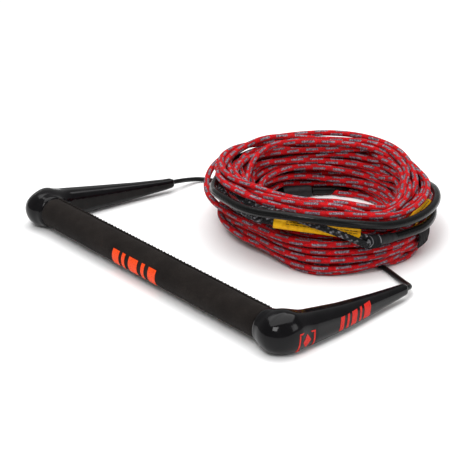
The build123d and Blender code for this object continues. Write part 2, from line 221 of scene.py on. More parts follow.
def follow(points, resolution=12):
    """The points down the middle of the NURBS spline that has these control points."""
    curve = bpy.data.curves.new("route", "CURVE")
    curve.dimensions = "3D"
    curve.resolution_u = resolution
    spline = curve.splines.new("NURBS")
    spline.points.add(len(points) - 1)
    for target, point in zip(spline.points, points):
        target.co = (*point, 1)
    spline.order_u = 3
    spline.use_endpoint_u = True
    carrier = bpy.data.objects.new("route", curve)
    mesh = bpy.data.meshes.new_from_object(carrier)
    line = np.array([vertex.co for vertex in mesh.vertices])
    bpy.data.objects.remove(carrier)
    bpy.data.meshes.remove(mesh)
    bpy.data.curves.remove(curve)
    return line


def eased(share):
    """A share from 0 to 1 that starts and ends gently."""
    return share * share * (3 - 2 * share)


# ---------------------------------------------------------------- meshes
def add_mesh(name, vertices, faces, uv=None, smooth=True):
    mesh = bpy.data.meshes.new(name)
    mesh.from_pydata([tuple(v) for v in vertices], [], faces)
    if uv is not None:
        layer = mesh.uv_layers.new(name="along_and_around")
        layer.data.foreach_set("uv", np.asarray(uv, np.float32).ravel())
    mesh.polygons.foreach_set("use_smooth", [smooth] * len(mesh.polygons))
    mesh.update()
    made = bpy.data.objects.new(name, mesh)
    bpy.context.scene.collection.objects.link(made)
    return made


def lengths_along(line):
    steps = np.linalg.norm(np.diff(line, axis=0), axis=1)
    return np.concatenate([[0], np.cumsum(steps)])


def respace(line, step):
    """The line again with its points evenly spaced."""
    along = lengths_along(line)
    at = np.linspace(0, along[-1], max(2, int(along[-1] / step) + 1))
    return np.stack([np.interp(at, along, line[:, k]) for k in range(3)], axis=1)


def frames_along(line):
    """For each point of a line: its direction and two directions across it that never twist."""
    ahead = np.gradient(line, axis=0)
    ahead /= np.linalg.norm(ahead, axis=1)[:, None]
    side = np.cross(ahead[0], (0, 0, 1))
    if np.linalg.norm(side) < 0.1:
        side = np.cross(ahead[0], (0, 1, 0))
    sides = np.empty_like(line)
    for index, direction in enumerate(ahead):
        side = side - direction * side.dot(direction)
        side = side / np.linalg.norm(side)
        sides[index] = side
    return ahead, sides, np.cross(ahead, sides)


def add_rings(name, rings, along, hollow=False):
    """The mesh over rings of points, with along as the distance of each ring. The ends are closed, or
    joined to each other where it is hollow."""
    rows, around = rings.shape[:2]
    turn = np.arange(around) / around
    faces, uv = [], []
    for i in range(rows if hollow else rows - 1):
        n = (i + 1) % rows
        far = along[i + 1] if i + 1 < rows else along[i] + 0.001
        for j in range(around):
            k = (j + 1) % around
            faces.append((i * around + j, i * around + k, n * around + k, n * around + j))
            low, high = turn[j], turn[j] + 1 / around
            uv += [(along[i], low), (along[i], high), (far, high), (far, low)]
    if not hollow:
        faces.append(tuple(range(around - 1, -1, -1)))
        faces.append(tuple(range((rows - 1) * around, rows * around)))
        uv += [(0, 0.5)] * around + [(along[-1], 0.5)] * around
    return add_mesh(name, rings.reshape(-1, 3), faces, uv)


def add_tube(name, line, radius, around, relief=None):
    """A tube whose rings are centred on the line's points. relief(along, turn) scales its radius."""
    _, side, up = frames_along(line)
    along = lengths_along(line)
    turn = np.arange(around) / around
    angle = turn * 2 * pi
    scale = np.ones((len(line), around)) if relief is None else relief(along[:, None], turn[None, :])
    reach = (np.broadcast_to(radius, len(line))[:, None] * scale)[:, :, None]
    ring = side[:, None] * np.cos(angle)[None, :, None] + up[:, None] * np.sin(angle)[None, :, None]
    return add_rings(name, line[:, None] + ring * reach, along)


def add_lathe(name, start, end, profile, around, hollow=False):
    """A turned piece about the line from start to end; profile is (distance along it, radius)."""
    start, end = np.array(start), np.array(end)
    ahead = (end - start) / np.linalg.norm(end - start)
    line = np.array([start + ahead * distance for distance, _ in profile])
    side = np.cross(ahead, (0, 0, 1))
    side /= np.linalg.norm(side)
    up = np.cross(ahead, side)
    turn = np.arange(around) / around
    ring = np.cos(turn * 2 * pi)[:, None] * side + np.sin(turn * 2 * pi)[:, None] * up
    radii = np.array([radius for _, radius in profile])
    travelled = lengths_along(np.array([(distance, radius, 0.0) for distance, radius in profile]))
    return add_rings(name, line[:, None] + ring[None] * radii[:, None, None], travelled, hollow)


# ---------------------------------------------------------------- the wound main line
TURNS = 40               # that are planned; END_SHORT leaves a little under 39 of them
END_SHORT = 402.0        # degrees left off the end of the plan: one whole turn and 42 degrees
STATIONS = 128           # points of one turn
START_ANGLE = -168.0     # where the first turn leaves the hitch
FRONT, BACK = -90, 90
ROPE_RADIUS = MAIN_LINE_DIAMETER / 2
TURN_GAP = MAIN_LINE_DIAMETER * 1.015      # between the centres of turns that lie side by side
COIL_SIZE = (COIL_WIDTH + COIL_LENGTH) / 4
HITCH = (-171.6, -0.0165, 0.0555)          # the bight that the main line is tied to, as for on_coil
HITCH_RADIUS = 0.0067
TAIL_LEAD = np.array([-0.0015, 0.006, 0.003])
MARKER_STEP = 0.005
MARKER_ROOM = (-0.001, -0.006, -0.003)     # from the front sleeve to the open space beside it
CORD_CLEARANCE = 0.0002
SLEEVE_CLEARANCE = 0.0003
WHIPPING_RADIUS = 0.0066
SEIZING_RADIUS = 0.0064
SETTLE_STEPS = 480
# the bundle at each eighth of the coil, from the front round by the right
THICKNESS = (0.042, 0.033, 0.035, 0.031, 0.041, 0.048, 0.060, 0.050)
HEIGHT = (0.0755, 0.0635, 0.069, 0.066, 0.0675, 0.068, 0.073, 0.0755)
# how much lower the bundle is at its inner side than at its outer side
INNER_DROP = (0.003, 0.011, 0.008, 0.0, 0.0, 0.0, 0.004, 0.003)
# how far its outer side stands out from the oval, at the floor and at the top
LOW_REACH = (0.001, -0.001, -0.007, -0.002, 0.0, -0.002, -0.009, -0.026)
HIGH_REACH = (-0.001, 0.0, 0.004, 0.004, -0.001, 0.012, 0.013, 0.001)


def round_coil(angle, eighths):
    """A value that changes smoothly round the coil between its eight places."""
    places = np.mod(np.asarray(angle, float) - FRONT, 360) / 45
    low = np.floor(places).astype(int) % 8
    share = eased(places - np.floor(places))
    values = np.array(eighths)
    return values[low] * (1 - share) + values[(low + 1) % 8] * share


def reach_at(angle, height):
    """How far the bundle's outer side stands out from the oval at a height."""
    up = np.clip(height / 0.07, 0, 1)
    return round_coil(angle, LOW_REACH) * (1 - up) + round_coil(angle, HIGH_REACH) * up


def bundle_sites(count, groove):
    """Places for the turns across the bundle, packed in staggered rows: (share inwards, share upwards)."""
    width, height = 0.0387, 0.068
    for pitch in np.arange(0.0100, 0.0070, -0.00005):
        sites = []
        for row in range(int(height / (pitch * 0.866)) + 1):
            up = row * pitch * 0.866
            for column in range(int(width / pitch) + 2):
                inward = column * pitch + (row % 2) * pitch / 2
                corner = 0.016
                du = max(corner - inward, inward - (width - corner), 0)
                dz = max(up - (height - corner), corner * 0.6 - up, 0)
                in_groove = groove and inward < 0.009 and 0.036 < up < 0.055
                if inward <= width and np.hypot(du, dz) <= corner and not in_groove:
                    sites.append((inward / width, up / height))
        if len(sites) >= count:
            break
    return np.array(sites)


def smooth_noise(count, per_turn, size):
    """A smooth random value for each point of the line; per_turn is how often it changes."""
    knots = RANDOM.normal(0, 1, int(TURNS * per_turn) + 4)
    at = np.arange(count) / STATIONS * per_turn
    low = np.floor(at).astype(int)
    share = eased(at - low)
    return size * (knots[low] * (1 - share) + knots[low + 1] * share)


def lay_turns():
    """The turns before they settle, in the coil's own axes, with their angles round it: each keeps its
    lane along the front and the back of the coil, and changes lane round the two ends."""
    front = bundle_sites(TURNS, True)
    back = bundle_sites(TURNS, False)
    order = []
    for sites, mixed in ((front, 0.20), (back, 0.24)):
        drop = RANDOM.permutation(len(sites))[: len(sites) - TURNS]
        kept = np.delete(sites, drop, axis=0)
        rank = -kept[:, 1] + RANDOM.normal(0, mixed, TURNS)
        order.append(kept[np.argsort(rank)])
    front, back = order
    count = TURNS * STATIONS
    along = np.arange(count) / STATIONS            # in turns
    angle = START_ANGLE + along * 360
    # lanes change at the right end (0 degrees) and at the left end (180 degrees)
    lane_keys, lane_values = [], []
    for turn in range(-1, TURNS + 2):
        f = front[min(max(turn, 0), TURNS - 1)]
        b = back[min(max(turn, 0), TURNS - 1)]
        for centre, site in ((FRONT, f), (BACK, b)):
            for edge in (-38, 38):
                lane_keys.append(turn * 360 + centre + edge)
                lane_values.append(site)
    lane_values = np.array(lane_values)
    lane = np.empty((count, 2))
    for k in range(2):
        lane[:, k] = np.interp(angle, lane_keys, lane_values[:, k])
    blur = np.hanning(25)
    blur /= blur.sum()
    padded = np.pad(lane, ((12, 12), (0, 0)), mode="edge")
    for k in range(2):
        lane[:, k] = np.convolve(padded[:, k], blur, mode="valid")
    turned = np.radians(angle)
    ends = np.cos(turned) ** 2                     # 1 at the left and right ends
    behind = np.clip(np.sin(turned), 0, 1)
    thick, high = round_coil(angle, THICKNESS), round_coil(angle, HEIGHT)
    inward = ROPE_RADIUS + lane[:, 0] * (thick - 2 * ROPE_RADIUS)
    inward += smooth_noise(count, 3.1, 0.0016) + smooth_noise(count, 2.1, 0.0085) * ends
    high = high - round_coil(angle, INNER_DROP) * lane[:, 0]
    height = ROPE_RADIUS + lane[:, 1] * (high - 2 * ROPE_RADIUS)
    height += smooth_noise(count, 3.3, 0.0014) + smooth_noise(count, 2.2, 0.0055) * ends
    height += smooth_noise(count, 5.3, 0.0032) * behind
    reach = reach_at(angle, height)
    u = (COIL_WIDTH / 2 + reach - inward) * np.cos(turned)
    v = (COIL_LENGTH / 2 + reach - inward) * np.sin(turned)
    return np.stack([u, v, np.maximum(height, ROPE_HEIGHT)], axis=1), angle


def to_coil(points):
    """Points of the frame in the coil's own axes."""
    x, y = points[:, 0], points[:, 1] - COIL_Y
    c, s = cos(COIL_TURN), sin(COIL_TURN)
    return np.stack([x * c + y * s, -x * s + y * c, points[:, 2]], axis=1)


def from_coil(points):
    u, v, z = points.T
    c, s = cos(COIL_TURN), sin(COIL_TURN)
    return np.stack([u * c - v * s, COIL_Y + u * s + v * c, z], axis=1)


def near_pairs(first, second, reach):
    """Index pairs of points of two sets that are nearer than reach."""
    a, b = first.astype(np.float32), second.astype(np.float32)
    gap = (a ** 2).sum(1)[:, None] + (b ** 2).sum(1)[None, :] - 2 * a @ b.T
    return np.nonzero(gap < reach * reach)


def settle(points, angle, fixed, posts, steps):
    """Pushes the turns apart until they lie beside and over each other, clear of the posts.

    posts is a list of (points, clear distance) of what the turns go round."""
    home = points.copy()
    x = points.copy()
    free = ~fixed
    around = np.concatenate([p for p, _ in posts])
    clear = np.concatenate([np.full(len(p), d) for p, d in posts])
    thick, high, drop = (round_coil(angle, eighths) for eighths in (THICKNESS, HEIGHT, INNER_DROP))
    for step in range(steps):
        late = step / steps
        if step % 8 == 0:
            i, j = near_pairs(x, x, 0.0125)
            keep = j - i > 3
            i, j = i[keep], j[keep]
            p, q = near_pairs(x, around, 0.0160)
        gap = x[j] - x[i]
        size = np.maximum(np.linalg.norm(gap, axis=1), 1e-6)
        push = np.maximum(TURN_GAP - size, 0) * 0.30 / size
        move = gap * push[:, None]
        shift = np.zeros_like(x)
        for k in range(3):
            shift[:, k] += np.bincount(j, move[:, k], len(x)) - np.bincount(i, move[:, k], len(x))
        gap = x[p] - around[q]
        size = np.maximum(np.linalg.norm(gap, axis=1), 1e-6)
        push = np.maximum(clear[q] - size, 0) * 0.5 / size
        move = gap * push[:, None]
        for k in range(3):
            shift[:, k] += np.bincount(p, move[:, k], len(x))
        largest = np.maximum(np.linalg.norm(shift, axis=1), 1e-9)
        shift *= np.minimum(1, 0.0012 / largest)[:, None]
        x[free] += shift[free]
        # the bundle's own outline holds the turns, loosely at the top and inside
        reach = reach_at(angle, x[:, 2]) - ROPE_RADIUS
        share = np.hypot(x[:, 0] / (COIL_WIDTH / 2 + reach), x[:, 1] / (COIL_LENGTH / 2 + reach))
        over = np.maximum(share - 1, 0)
        x[free, :2] -= (x[:, :2] * (over / share)[:, None] * 0.5)[free]
        reach += 2 * ROPE_RADIUS - thick
        inner = np.hypot(x[:, 0] / (COIL_WIDTH / 2 + reach), x[:, 1] / (COIL_LENGTH / 2 + reach))
        under = np.maximum(1 - inner, 0)
        x[free, :2] += (x[:, :2] * (under / inner)[:, None] * 0.15)[free]
        inward = np.clip((1 - share) * COIL_SIZE / thick, 0, 1)
        above = np.maximum(x[:, 2] - (high - drop * inward - ROPE_RADIUS), 0)
        x[free, 2] -= (above * 0.3)[free]
        x[free, 2] = np.maximum(x[free, 2], ROPE_HEIGHT)
        # bending stiffness, as smoothing of the way that each point has moved
        moved = x - home
        average = moved.copy()
        average[1:-1] = (moved[:-2] + moved[2:]) / 2
        stiff = 0.5 * (1 - late) + 0.12 * late
        x[free] += ((average - moved) * stiff)[free]
        x[free] += ((home - x) * 0.010 * (1 - late))[free]
    return x


def wind_main_line(lines):
    """The main line's own points, from the hitch through all its turns to the whipping of its end loop."""
    points, angle = lay_turns()
    keep = TURNS * STATIONS - int(END_SHORT / 360 * STATIONS)
    points, angle = points[:keep], angle[:keep]
    fixed = np.zeros(keep, bool)

    start = to_coil(np.array([on_coil(*HITCH)]))[0] + (0, 0, HITCH_RADIUS)
    lead = 14
    ease = np.linspace(1, 0, lead)[:, None] ** 2
    first = start + np.linspace(0, 1, lead)[:, None] * np.array([0.006, -0.062, 0.002])
    points[:lead] = first * ease + points[:lead] * (1 - ease)
    fixed[:3] = True

    tail = to_coil(np.array(MAIN_TAIL_ROUTE))
    lead = 26
    ease = eased(np.linspace(0, 1, lead)[:, None])
    drawn = points[-lead:] + (tail[0] + TAIL_LEAD - points[-1])
    points[-lead:] = points[-lead:] * (1 - ease) + drawn * ease
    fixed[-2:] = True

    # one turn runs through the rear marker sleeve
    ends = to_coil(np.array(MARKER_REAR))
    middle = ends.mean(0)
    chosen = np.linalg.norm(points[STATIONS * 4: -STATIONS * 4] - middle, axis=1).argmin() + STATIONS * 4
    half = int(np.ceil(np.linalg.norm(ends[1] - ends[0]) / 2 / MARKER_STEP)) + 2
    place = np.arange(-half, half + 1)
    axis = (ends[1] - ends[0]) / np.linalg.norm(ends[1] - ends[0])
    points[chosen + place] = middle + place[:, None] * MARKER_STEP * axis
    fixed[chosen + place] = True
    for side in (-1, 1):
        edge = chosen + side * half
        pull = points[edge] - points[edge + side]
        for number in range(1, 15):
            share = 1 - number / 15
            points[edge + side * number] += pull * share * share * (3 - 2 * share)

    sleeve = np.linspace(ends[0], ends[1], 24)
    front = to_coil(np.linspace(MARKER_FRONT[0], MARKER_FRONT[1], 30))
    whip = to_coil(np.linspace(WHIPPING_START, WHIPPING_END, 8))
    seized = to_coil(np.linspace(SEIZING_START, SEIZING_END, 12))
    posts = [
        (to_coil(respace(lines[cord], 0.004)), diameter / 2 + ROPE_RADIUS + CORD_CLEARANCE)
        for cord, diameter in (("handle_line", HANDLE_LINE_DIAMETER), ("eye_loop", EYE_DIAMETER),
                               ("bridle_left", BRIDLE_DIAMETER), ("bridle_right", BRIDLE_DIAMETER))
    ] + [
        (sleeve, MARKER_RADIUS + ROPE_RADIUS + SLEEVE_CLEARANCE),
        (front, MARKER_RADIUS + ROPE_RADIUS + SLEEVE_CLEARANCE),
        (front + np.array(MARKER_ROOM), MARKER_RADIUS + ROPE_RADIUS),
        (whip, WHIPPING_RADIUS + ROPE_RADIUS),
        (seized, SEIZING_RADIUS + ROPE_RADIUS),
    ]
    settled = settle(points, angle, fixed, posts, SETTLE_STEPS)
    route = np.concatenate([settled[::2], settled[-1:], tail])
    return follow(from_coil(route), 3)


# ---------------------------------------------------------------- materials
class Field:
    """A number that varies over a surface: shader-node arithmetic, written as ordinary sums."""

    def __init__(self, tree, socket):
        self.tree, self.socket = tree, socket

    def math(self, operation, *others):
        node = self.tree.nodes.new("ShaderNodeMath")
        node.operation = operation
        for place, value in enumerate((self, *others)):
            if isinstance(value, Field):
                self.tree.links.new(value.socket, node.inputs[place])
            else:
                node.inputs[place].default_value = value
        return Field(self.tree, node.outputs[0])

    def __add__(self, other):
        return self.math("ADD", other)

    def __sub__(self, other):
        return self.math("SUBTRACT", other)

    def __mul__(self, other):
        return self.math("MULTIPLY", other)

    def floor(self):
        return self.math("FLOOR")

    def fraction(self):
        return self.math("FRACT")

    def modulo(self, size):
        return self.math("FLOORED_MODULO", size)

    def below(self, limit):
        return self.math("LESS_THAN", limit)

    def size(self):
        return self.math("ABSOLUTE")

    def ramp(self, low, high):
        """0 under low and 1 over high, smooth between them."""
        node = self.tree.nodes.new("ShaderNodeMapRange")
        node.interpolation_type = "SMOOTHSTEP"
        self.tree.links.new(self.socket, node.inputs["Value"])
        node.inputs["From Min"].default_value, node.inputs["From Max"].default_value = low, high
        return Field(self.tree, node.outputs["Result"])


class Look:
    """A material in the making, with its Principled shader."""

    def __init__(self, name, colour, roughness, **constants):
        self.material = bpy.data.materials.new(name)
        self.material.use_nodes = True
        self.tree = self.material.node_tree
        self.shader = self.tree.nodes["Principled BSDF"]
        self.set("Base Color", (*colour, 1))
        self.set("Roughness", roughness)
        for socket, value in constants.items():
            self.set(socket.replace("_", " "), value)

    def set(self, socket, value):
        if isinstance(value, Field):
            self.tree.links.new(value.socket, self.shader.inputs[socket])
        else:
            self.shader.inputs[socket].default_value = value

    def along_and_around(self):
        """The distance along a tube in millimetres and the share of a turn round it."""
        node = self.tree.nodes.new("ShaderNodeUVMap")
        node.uv_map = "along_and_around"
        parts = self.tree.nodes.new("ShaderNodeSeparateXYZ")
        self.tree.links.new(node.outputs[0], parts.inputs[0])
        return Field(self.tree, parts.outputs[0]) * 1000.0, Field(self.tree, parts.outputs[1])

    def place(self, scale=(1, 1, 1)):
        """The point of the object, in its own axes, scaled."""
        node = self.tree.nodes.new("ShaderNodeTexCoord")
        scaled = self.tree.nodes.new("ShaderNodeMapping")
        scaled.inputs["Scale"].default_value = scale
        self.tree.links.new(node.outputs["Object"], scaled.inputs[0])
        return scaled.outputs[0]

    def noise(self, scale, detail=3.0, at=None, roughness=0.5):
        node = self.tree.nodes.new("ShaderNodeTexNoise")
        node.inputs["Scale"].default_value = scale
        node.inputs["Detail"].default_value = detail
        node.inputs["Roughness"].default_value = roughness
        self.tree.links.new(at if at is not None else self.place(), node.inputs["Vector"])
        return Field(self.tree, node.outputs[0])

    def chance(self, first, second):
        """A random number from 0 to 1 for each pair of whole numbers."""
        joined = self.tree.nodes.new("ShaderNodeCombineXYZ")
        self.tree.links.new(first.socket, joined.inputs[0])
        self.tree.links.new(second.socket, joined.inputs[1])
        node = self.tree.nodes.new("ShaderNodeTexWhiteNoise")
        node.noise_dimensions = "2D"
        self.tree.links.new(joined.outputs[0], node.inputs["Vector"])
        return Field(self.tree, node.outputs["Value"])

    def colours(self, field, *stops):
        """A colour for each value of field, from (value, colour) stops."""
        node = self.tree.nodes.new("ShaderNodeValToRGB")
        self.tree.links.new(field.socket, node.inputs[0])
        elements = node.color_ramp.elements
        while len(elements) < len(stops):
            elements.new(0.5)
        for element, (value, colour) in zip(elements, stops):
            element.position = value
            element.color = (*colour, 1)
        return Field(self.tree, node.outputs[0])

    def mix(self, field, first, second):
        """first where field is 0 and second where it is 1, each a colour or a coloured field."""
        node = self.tree.nodes.new("ShaderNodeMix")
        node.data_type = "RGBA"
        self.tree.links.new(field.socket, node.inputs["Factor"])
        for socket, value in ((node.inputs[6], first), (node.inputs[7], second)):
            if isinstance(value, Field):
                self.tree.links.new(value.socket, socket)
            else:
                socket.default_value = (*value, 1)
        return Field(self.tree, node.outputs[2])

    def bump(self, height, distance, strength=1.0):
        node = self.tree.nodes.new("ShaderNodeBump")
        node.inputs["Distance"].default_value = distance
        node.inputs["Strength"].default_value = strength
        self.tree.links.new(height.socket, node.inputs["Height"])
        self.tree.links.new(node.outputs[0], self.shader.inputs["Normal"])

    def braid(self, carriers, pitch, twist=0.0):
        """The two families of yarns of a braid: their numbers, and how near a place is to a yarn's edge."""
        along, turn = self.along_and_around()
        turned = turn + along * twist
        right = along * (1 / pitch) + turned * carriers
        left = along * (1 / pitch) - turned * carriers
        edge = (right.fraction() - 0.5).size().math("MAXIMUM", (left.fraction() - 0.5).size()) * 2.0
        return right.floor(), left.floor(), edge


def main_rope_look():
    """Fine red braid with grey flecks: short rows of yarn crossings along the line, in four columns."""
    look = Look("main_rope", (0.6, 0.003, 0.008), 0.68, Specular_IOR_Level=0.14)
    right, left, edge = look.braid(carriers=12, pitch=1.7, twist=1 / 420)
    column, row = (right - left).modulo(24), right + left
    in_group = column.modulo(6)
    group = (column * (1 / 6)).floor()
    cycle = (row + group * 6.5).modulo(26)
    fleck = cycle.below(16.5) * in_group.below(2.5)
    beside = cycle.below(17.5) * (in_group.below(3.5) + in_group.math("GREATER_THAN", 4.5))
    shade = look.chance(right, left)
    red = look.colours(shade, (0.0, (0.40, 0.0015, 0.0045)), (1.0, (0.74, 0.0035, 0.0090)))
    grey = look.colours(shade, (0.0, (0.08, 0.06, 0.08)), (0.55, (0.19, 0.16, 0.20)),
                        (1.0, (0.36, 0.33, 0.38)))
    dark = look.mix(beside * 0.45, red, (0.10, 0.002, 0.006))
    yarn = look.mix(fleck, dark, grey)
    # painted shade: the colour darkens towards each yarn's edge, as shade in the gaps between yarns
    look.set("Base Color", look.mix(edge.ramp(0.66, 1.0) * 0.60, yarn, (0.05, 0.001, 0.002)))
    look.bump(edge.ramp(1.0, 0.2), 0.0003, 0.7)
    return look.material


def eye_braid_look():
    """Coarse black braid with white yarns here and there."""
    look = Look("eye_braid", (0.01, 0.01, 0.01), 0.6, Specular_IOR_Level=0.15)
    right, left, edge = look.braid(carriers=6, pitch=3.4)
    shade = look.chance(right, left)
    yarn = look.colours(shade, (0.0, (0.005, 0.005, 0.006)), (0.66, (0.011, 0.011, 0.013)),
                        (0.72, (0.06, 0.06, 0.065)), (1.0, (0.26, 0.25, 0.27)))
    # painted shade: the colour darkens towards each yarn's edge, as shade in the gaps between yarns
    look.set("Base Color", look.mix(edge.ramp(0.6, 1.0) * 0.85, yarn, (0.004, 0.004, 0.004)))
    look.bump(edge.ramp(1.0, 0.1), 0.0006, 0.9)
    return look.material


def coated_line_look(name, tone, roughness):
    """Black line in a smooth coating that follows the braid under it a little."""
    look = Look(name, (tone, tone, tone * 1.05), roughness, Specular_IOR_Level=0.15)
    _, _, edge = look.braid(carriers=6, pitch=5.0)
    scuff = look.noise(160, 4.0)
    look.set("Roughness", scuff * 0.22 + (roughness - 0.11))
    look.set("Base Color", look.colours(look.noise(45, 3.0), (0.3, (tone * 0.7,) * 3),
                                        (0.7, (tone * 1.4,) * 3)))
    look.bump(edge.ramp(1.0, 0.3) * 0.35 + scuff * 0.3, 0.0003, 0.45)
    return look.material


def suede_look():
    look = Look("grip_suede", (0.02, 0.018, 0.016), 0.95, Sheen_Weight=0.03, Sheen_Roughness=0.5,
                Specular_IOR_Level=0.06)
    cloud = look.noise(38, 4.0)
    nap = look.noise(900, 3.0, roughness=0.7)
    grain = look.noise(2600, 2.0)
    tone = cloud * 0.45 + nap * 0.35 + grain * 0.2
    look.set("Base Color", look.colours(
        tone, (0.34, (0.0065, 0.0050, 0.0045)), (0.52, (0.0120, 0.0095, 0.0085)),
        (0.68, (0.0240, 0.0195, 0.0170))))
    look.bump(nap * 0.6 + grain * 0.4, 0.00045, 0.7)
    return look.material


def gloss_plastic_look():
    look = Look("cap_plastic", (0.006, 0.006, 0.0065), 0.13, Specular_IOR_Level=0.16)
    ripple = look.noise(55, 2.0)
    grain = look.noise(1400, 2.0)
    smear = look.noise(90, 5.0, roughness=0.65)
    look.set("Roughness", smear.ramp(0.35, 0.8) * 0.16 + 0.09)
    look.set("Base Color", look.colours(smear, (0.3, (0.0020, 0.0018, 0.0022)),
                                        (0.8, (0.0045, 0.0040, 0.0048))))
    look.bump(ripple * 0.7 + grain * 0.05, 0.0003, 0.30)
    return look.material


def matte_plastic_look():
    look = Look("cap_inner_face", (0.009, 0.008, 0.008), 0.62, Specular_IOR_Level=0.12)
    grain = look.noise(1100, 3.0)
    look.set("Roughness", grain * 0.2 + 0.5)
    look.set("Base Color", look.colours(look.noise(70, 3.0), (0.3, (0.0065, 0.0058, 0.0056)),
                                        (0.8, (0.0125, 0.0110, 0.0105))))
    look.bump(grain, 0.0002, 0.5)
    return look.material


def speckled_look(name, colour, roughness, grain, stops, rough, bump, scale=(1, 1, 1), **constants):
    """One noise gives the colour, the roughness, as (gain, base), and the relief."""
    look = Look(name, colour, roughness, **constants)
    speckle = look.noise(*grain, look.place(scale))
    look.set("Base Color", look.colours(speckle, *stops))
    if rough:
        look.set("Roughness", speckle * rough[0] + rough[1])
    look.bump(speckle, *bump)
    return look.material


def print_look(name, colour):
    worn = tuple(0.55 * part for part in colour)
    return speckled_look(name, colour, 0.55, (700, 3.0), ((0.30, worn), (0.48, colour)), (0.3, 0.3),
                         (0.0001, 0.5), Specular_IOR_Level=0.12)


def yellow_vinyl_look():
    return speckled_look(
        "marker_yellow", (0.80, 0.45, 0.005), 0.45, (240, 4.0),
        ((0.30, (0.55, 0.26, 0.002)), (0.50, (0.76, 0.39, 0.003)), (0.75, (0.84, 0.46, 0.008))),
        (0.3, 0.28), (0.0004, 0.5), Specular_IOR_Level=0.12)


def shrink_look():
    return speckled_look(
        "shrink_sleeve", (0.014, 0.014, 0.015), 0.5, (300, 4.0),
        ((0.3, (0.0050, 0.0050, 0.0056)), (0.7, (0.0130, 0.0130, 0.0140))),
        (0.3, 0.34), (0.0003, 0.5), Specular_IOR_Level=0.2)


def twine_look(name, light):
    """Waxed twine: fine diagonal fibres, with light ones among them."""
    look = Look(name, (0.02, 0.02, 0.02), 0.7, Specular_IOR_Level=0.12)
    along, turn = look.along_and_around()
    strand = along * 0.9 + turn * 3.0
    fibre = (strand.fraction() - 0.5).size() * 2.0
    shade = look.chance(strand.floor(), (along * 0.2).floor())
    yarn = look.colours(shade, (0.0, (0.005, 0.005, 0.006)), (0.86, (0.012, 0.012, 0.014)), (0.90, light),
                        (1.0, light))
    # painted shade: the colour darkens towards each fibre's edge, as shade in the grooves between fibres
    look.set("Base Color", look.mix(fibre.ramp(0.5, 1.0) * 0.7, yarn, (0.005, 0.005, 0.005)))
    look.bump(fibre.ramp(1.0, 0.0), 0.0003, 0.8)
    return look.material


def webbing_look():
    look = Look("webbing", (0.012, 0.012, 0.013), 0.85, Sheen_Weight=0.03, Specular_IOR_Level=0.1)
    at = look.place()
    node = look.tree.nodes.new("ShaderNodeTexWave")
    node.inputs["Scale"].default_value = 260
    node.inputs["Distortion"].default_value = 1.5
    look.tree.links.new(at, node.inputs["Vector"])
    weave = Field(look.tree, node.outputs["Fac"])
    fuzz = look.noise(900, 3.0)
    look.set("Base Color", look.colours(weave * 0.6 + fuzz * 0.4, (0.2, (0.004, 0.004, 0.004)),
                                        (0.8, (0.017, 0.016, 0.017))))
    look.bump(weave, 0.0004, 0.8)
    return look.material


def metal_look(name, tone, roughness):
    return speckled_look(
        name, (tone, tone, tone), roughness, (500, 3.0),
        ((0.3, (tone * 0.85,) * 3), (0.7, (tone * 1.05,) * 3)),
        (0.3, roughness - 0.1), (0.0001, 0.4), (0.1, 1, 1), Metallic=1.0)


def foam_look():
    return speckled_look(
        "foam", (0.55, 0.55, 0.52), 0.9, (1500, 3.0),
        ((0.3, (0.35, 0.35, 0.33)), (0.7, (0.62, 0.62, 0.58))), None, (0.0006, 0.8))


LOOKS = {
    "main_rope": main_rope_look(),
    "eye_braid": eye_braid_look(),
    "bridle_cord": coated_line_look("bridle_cord", 0.0045, 0.34),
    "handle_line": coated_line_look("handle_line", 0.0035, 0.24),
    "grip_suede": suede_look(),
    "cap_plastic": gloss_plastic_look(),
    "cap_inner_face": matte_plastic_look(),
    "grip_mark": print_look("grip_mark", (0.86, 0.062, 0.004)),
    "cap_mark": print_look("cap_mark", (0.56, 0.018, 0.012)),
    "marker_yellow": yellow_vinyl_look(),
    "marker_print": print_look("marker_print", (0.055, 0.035, 0.006)),
    "shrink_sleeve": shrink_look(),
    "whipping_twine": twine_look("whipping_twine", (0.20, 0.20, 0.21)),
    "grip_thread": twine_look("grip_thread", (0.16, 0.012, 0.012)),
    "webbing": webbing_look(),
    "steel": metal_look("steel", 0.55, 0.35),
    "tube": metal_look("tube", 0.70, 0.30),
    "foam": foam_look(),
}


def dress(piece, look, body="root", replaced=()):
    """Gives a piece its material and its body, and hides the CAD nodes that it stands for."""
    piece.data.materials.append(LOOKS[look])
    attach(piece, body)
    if replaced:
        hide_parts(*replaced)
    return piece


# ---------------------------------------------------------------- cords
LINES = {
    "bridle_left": follow(BRIDLE_LEFT_ROUTE),
    "bridle_right": follow(BRIDLE_RIGHT_ROUTE),
    "handle_line": follow(HANDLE_LINE_ROUTE),
    "eye_loop": follow(EYE_ROUTE),
    "main_line_loop": follow(LOOP_ROUTE),
}
LINES["main_line"] = wind_main_line(LINES)


def add_cord(name, node, diameter, look, step, around, relief=None, replaced=()):
    path = respace(LINES[node], step)
    piece = add_tube(name, path, diameter / 2, around, relief)
    dress(piece, look, replaced=replaced or (node,))
    return piece, path


def braid_relief(along, turn):
    """The height of a coarse braid's yarns, as a share of its radius."""
    right = along / 0.0034 + turn * 6
    left = along / 0.0034 - turn * 6
    edge = 2 * np.maximum(np.abs(right % 1 - 0.5), np.abs(left % 1 - 0.5))
    return 1.02 - 0.09 * edge ** 2


